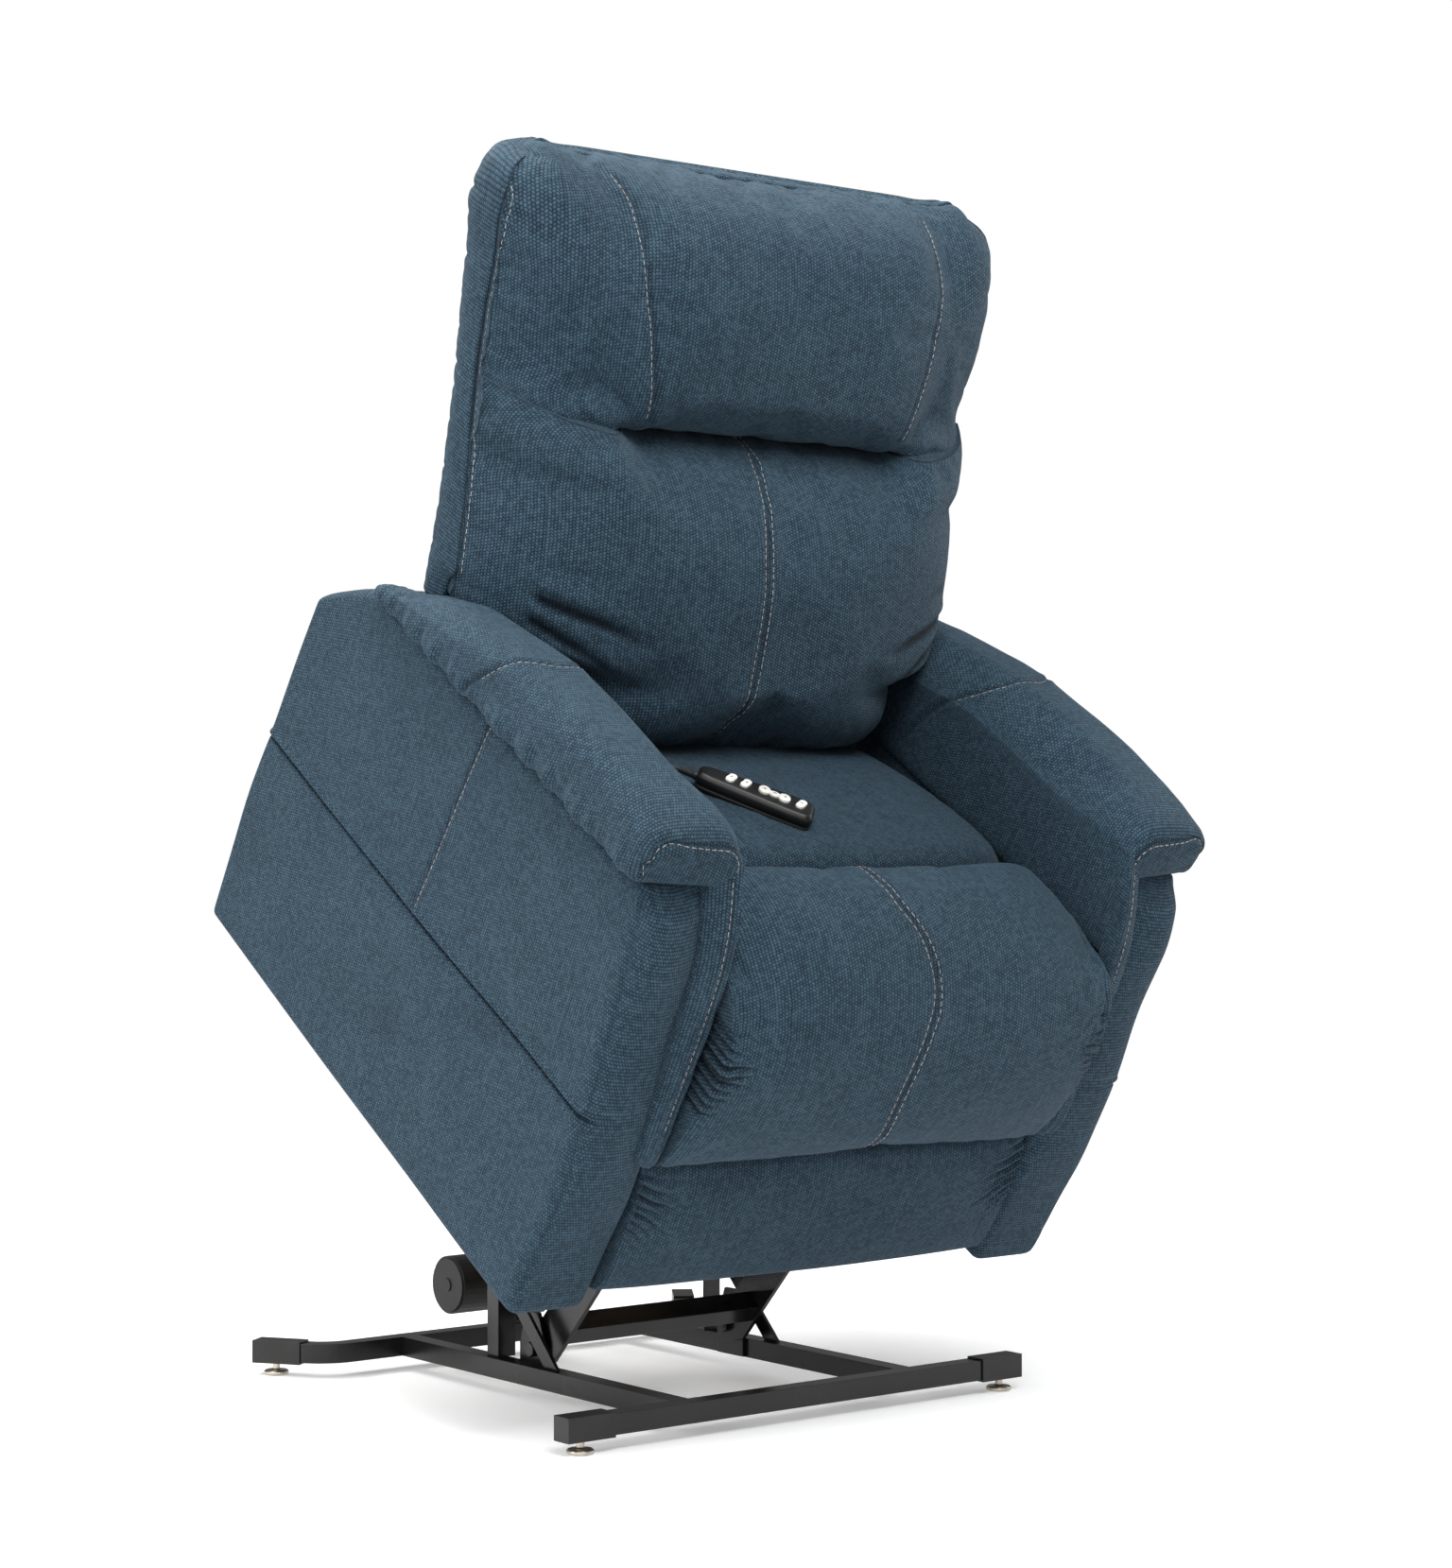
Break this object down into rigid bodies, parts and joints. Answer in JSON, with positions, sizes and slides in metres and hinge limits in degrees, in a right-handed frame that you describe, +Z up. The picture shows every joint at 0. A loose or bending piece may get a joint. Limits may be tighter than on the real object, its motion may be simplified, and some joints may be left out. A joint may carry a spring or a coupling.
{
  "type": "lift recliner chair",
  "caption": "Power lift recliner with upholstered arms, split back, footrest and wired handset, on a black steel floor base, shown raised and tilted.",
  "frame": {"origin": "centre of the bounding box's bottom face, on the floor", "axes": "+Z up, -Y towards the front of the chair, +X towards the sitter's left"},
  "size_m": [0.874, 1.0078, 1.5493],
  "materials": {
    "upholstery": "matte woven chenille",
    "black_steel": "satin black powder coat",
    "cap_plastic": "matte",
    "glide_steel": "satin nickel",
    "zinc_rod": "satin",
    "wood": "raw plywood",
    "black_plastic": "satin",
    "button_white": "gloss",
    "rubber_lead": "matte"
  },
  "bodies": {
    "floor_base": {"front_cross_tube": "black_steel", "rear_cross_tube": "black_steel", "side_tube_left": "black_steel", "side_tube_right": "black_steel", "post_left": "black_steel", "post_right": "black_steel", "brace_left": "black_steel", "brace_right": "black_steel", "pivot_bracket_left": "black_steel", "pivot_bracket_right": "black_steel", "actuator_clevis": "black_steel", "end_cap_front_left": "cap_plastic", "end_cap_front_right": "cap_plastic", "end_cap_rear_left": "cap_plastic", "end_cap_rear_right": "cap_plastic"},
    "glide_front_left": {"glide_front_left": "glide_steel"},
    "glide_front_right": {"glide_front_right": "glide_steel"},
    "glide_rear_left": {"glide_rear_left": "glide_steel"},
    "glide_rear_right": {"glide_rear_right": "glide_steel"},
    "lift_arms": {"lift_arm_left": "black_steel", "lift_arm_right": "black_steel", "lift_torque_tube": "black_steel"},
    "rear_links": {"rear_link_left": "black_steel", "rear_link_right": "black_steel"},
    "lift_actuator": {"lift_actuator_body": "black_plastic", "lift_motor": "black_plastic"},
    "lift_rod": {"lift_actuator_rod": "zinc_rod"},
    "chair_body": {"seat_rail_left": "black_steel", "seat_rail_right": "black_steel", "actuator_cross_tube": "black_steel", "seat_deck": "wood", "control_box": "black_plastic", "footrest_actuator_body": "black_plastic", "arm_left": "upholstery", "arm_right": "upholstery", "arm_pad_left": "upholstery", "arm_pad_right": "upholstery", "seat_cushion": "upholstery", "rear_apron": "upholstery", "handset_body": "black_plastic", "handset_strain_relief": "rubber_lead", "handset_lead": "rubber_lead"},
    "backrest": {"back_shell": "upholstery", "back_frame": "black_steel", "lumbar_cushion": "upholstery", "head_pillow": "upholstery"},
    "footrest_links_upper": {"footrest_link_upper_left": "black_steel", "footrest_link_upper_right": "black_steel"},
    "footrest_links_lower": {"footrest_link_lower_left": "black_steel", "footrest_link_lower_right": "black_steel"},
    "footrest": {"footrest_roll": "upholstery", "footrest_pad": "upholstery", "footrest_frame": "wood"},
    "footrest_rod": {"footrest_actuator_rod": "zinc_rod"},
    "button_back_up": {"button_back_up": "button_white"},
    "button_back_down": {"button_back_down": "button_white"},
    "button_feet_up": {"button_feet_up": "button_white"},
    "button_feet_down": {"button_feet_down": "button_white"},
    "button_stand": {"button_stand": "button_white"},
    "button_sit": {"button_sit": "button_white"}
  },
  "joints": [
    {"name": "lift", "type": "hinge", "parent": "floor_base", "child": "lift_arms", "pos_m": [0, 0.11493, 0.06], "axis": [1, 0, 0], "range_deg": [0, 42]},
    {"name": "lift_carriage_pivot", "type": "hinge", "parent": "lift_arms", "child": "chair_body", "pos_m": [0, -0.08056, 0.2694], "axis": [1, 0, 0], "range_deg": [-74.8, 0]},
    {"name": "lift_rear_link_pivot", "type": "hinge", "parent": "floor_base", "child": "rear_links", "pos_m": [0, 0.18194, 0.17], "axis": [1, 0, 0], "range_deg": [0, 39]},
    {"name": "lift_actuator_pivot", "type": "hinge", "parent": "floor_base", "child": "lift_actuator", "pos_m": [0, 0.39693, 0.062], "axis": [1, 0, 0], "range_deg": [0, 28.3]},
    {"name": "lift_actuator_stroke", "type": "slide", "parent": "lift_actuator", "child": "lift_rod", "axis": [0, -0.7474, 0.6644], "range_m": [-0.0906, 0]},
    {"name": "recline", "type": "hinge", "parent": "chair_body", "child": "backrest", "pos_m": [0, 0.1825, 0.76647], "axis": [1, 0, 0], "range_deg": [-45, 0]},
    {"name": "footrest", "type": "hinge", "parent": "chair_body", "child": "footrest_links_upper", "pos_m": [0, -0.24596, 0.52685], "axis": [1, 0, 0], "range_deg": [-90, 0]},
    {"name": "footrest_lower_link", "type": "hinge", "parent": "footrest_links_upper", "child": "footrest_links_lower", "pos_m": [0, -0.1838, 0.43009], "axis": [1, 0, 0], "range_deg": [0, 180]},
    {"name": "footrest_panel", "type": "hinge", "parent": "footrest_links_lower", "child": "footrest", "pos_m": [0, -0.24596, 0.52685], "axis": [1, 0, 0], "range_deg": [-175, 0]},
    {"name": "footrest_actuator_stroke", "type": "slide", "parent": "chair_body", "child": "footrest_rod", "axis": [0, -0.8413, -0.5405], "range_m": [0, 0.09]},
    {"name": "level_front_left", "type": "hinge", "parent": "floor_base", "child": "glide_front_left", "pos_m": [0.335, -0.22537, 0], "axis": [0, 0, 1], "range_deg": [-180, 180]},
    {"name": "level_front_right", "type": "hinge", "parent": "floor_base", "child": "glide_front_right", "pos_m": [-0.335, -0.22537, 0], "axis": [0, 0, 1], "range_deg": [-180, 180]},
    {"name": "level_rear_left", "type": "hinge", "parent": "floor_base", "child": "glide_rear_left", "pos_m": [0.3418, 0.46054, 0], "axis": [0, 0, 1], "range_deg": [-180, 180]},
    {"name": "level_rear_right", "type": "hinge", "parent": "floor_base", "child": "glide_rear_right", "pos_m": [-0.3418, 0.46054, 0], "axis": [0, 0, 1], "range_deg": [-180, 180]},
    {"name": "press_back_up", "type": "slide", "parent": "chair_body", "child": "button_back_up", "axis": [0, -0.5405, 0.8413], "range_m": [-0.0012, 0], "stiffness_N_per_m": 600},
    {"name": "press_back_down", "type": "slide", "parent": "chair_body", "child": "button_back_down", "axis": [0, -0.5405, 0.8413], "range_m": [-0.0012, 0], "stiffness_N_per_m": 600},
    {"name": "press_feet_up", "type": "slide", "parent": "chair_body", "child": "button_feet_up", "axis": [0, -0.5405, 0.8413], "range_m": [-0.0012, 0], "stiffness_N_per_m": 600},
    {"name": "press_feet_down", "type": "slide", "parent": "chair_body", "child": "button_feet_down", "axis": [0, -0.5405, 0.8413], "range_m": [-0.0012, 0], "stiffness_N_per_m": 600},
    {"name": "press_stand", "type": "slide", "parent": "chair_body", "child": "button_stand", "axis": [0, -0.5405, 0.8413], "range_m": [-0.0012, 0], "stiffness_N_per_m": 600},
    {"name": "press_sit", "type": "slide", "parent": "chair_body", "child": "button_sit", "axis": [0, -0.5405, 0.8413], "range_m": [-0.0012, 0], "stiffness_N_per_m": 600}
  ],
  "couplings": [
    {"joint": "lift_carriage_pivot", "follows": "lift", "ratio": -1.779},
    {"joint": "lift_rear_link_pivot", "follows": "lift", "ratio": 0.92335},
    {"joint": "lift_actuator_pivot", "follows": "lift", "ratio": 0.66806},
    {"joint": "lift_actuator_stroke", "follows": "lift", "m_per_rad": -0.12295},
    {"joint": "footrest_lower_link", "follows": "footrest", "ratio": -2},
    {"joint": "footrest_panel", "follows": "footrest", "ratio": 1.944},
    {"joint": "footrest_actuator_stroke", "follows": "footrest", "m_per_rad": -0.057232}
  ]
}
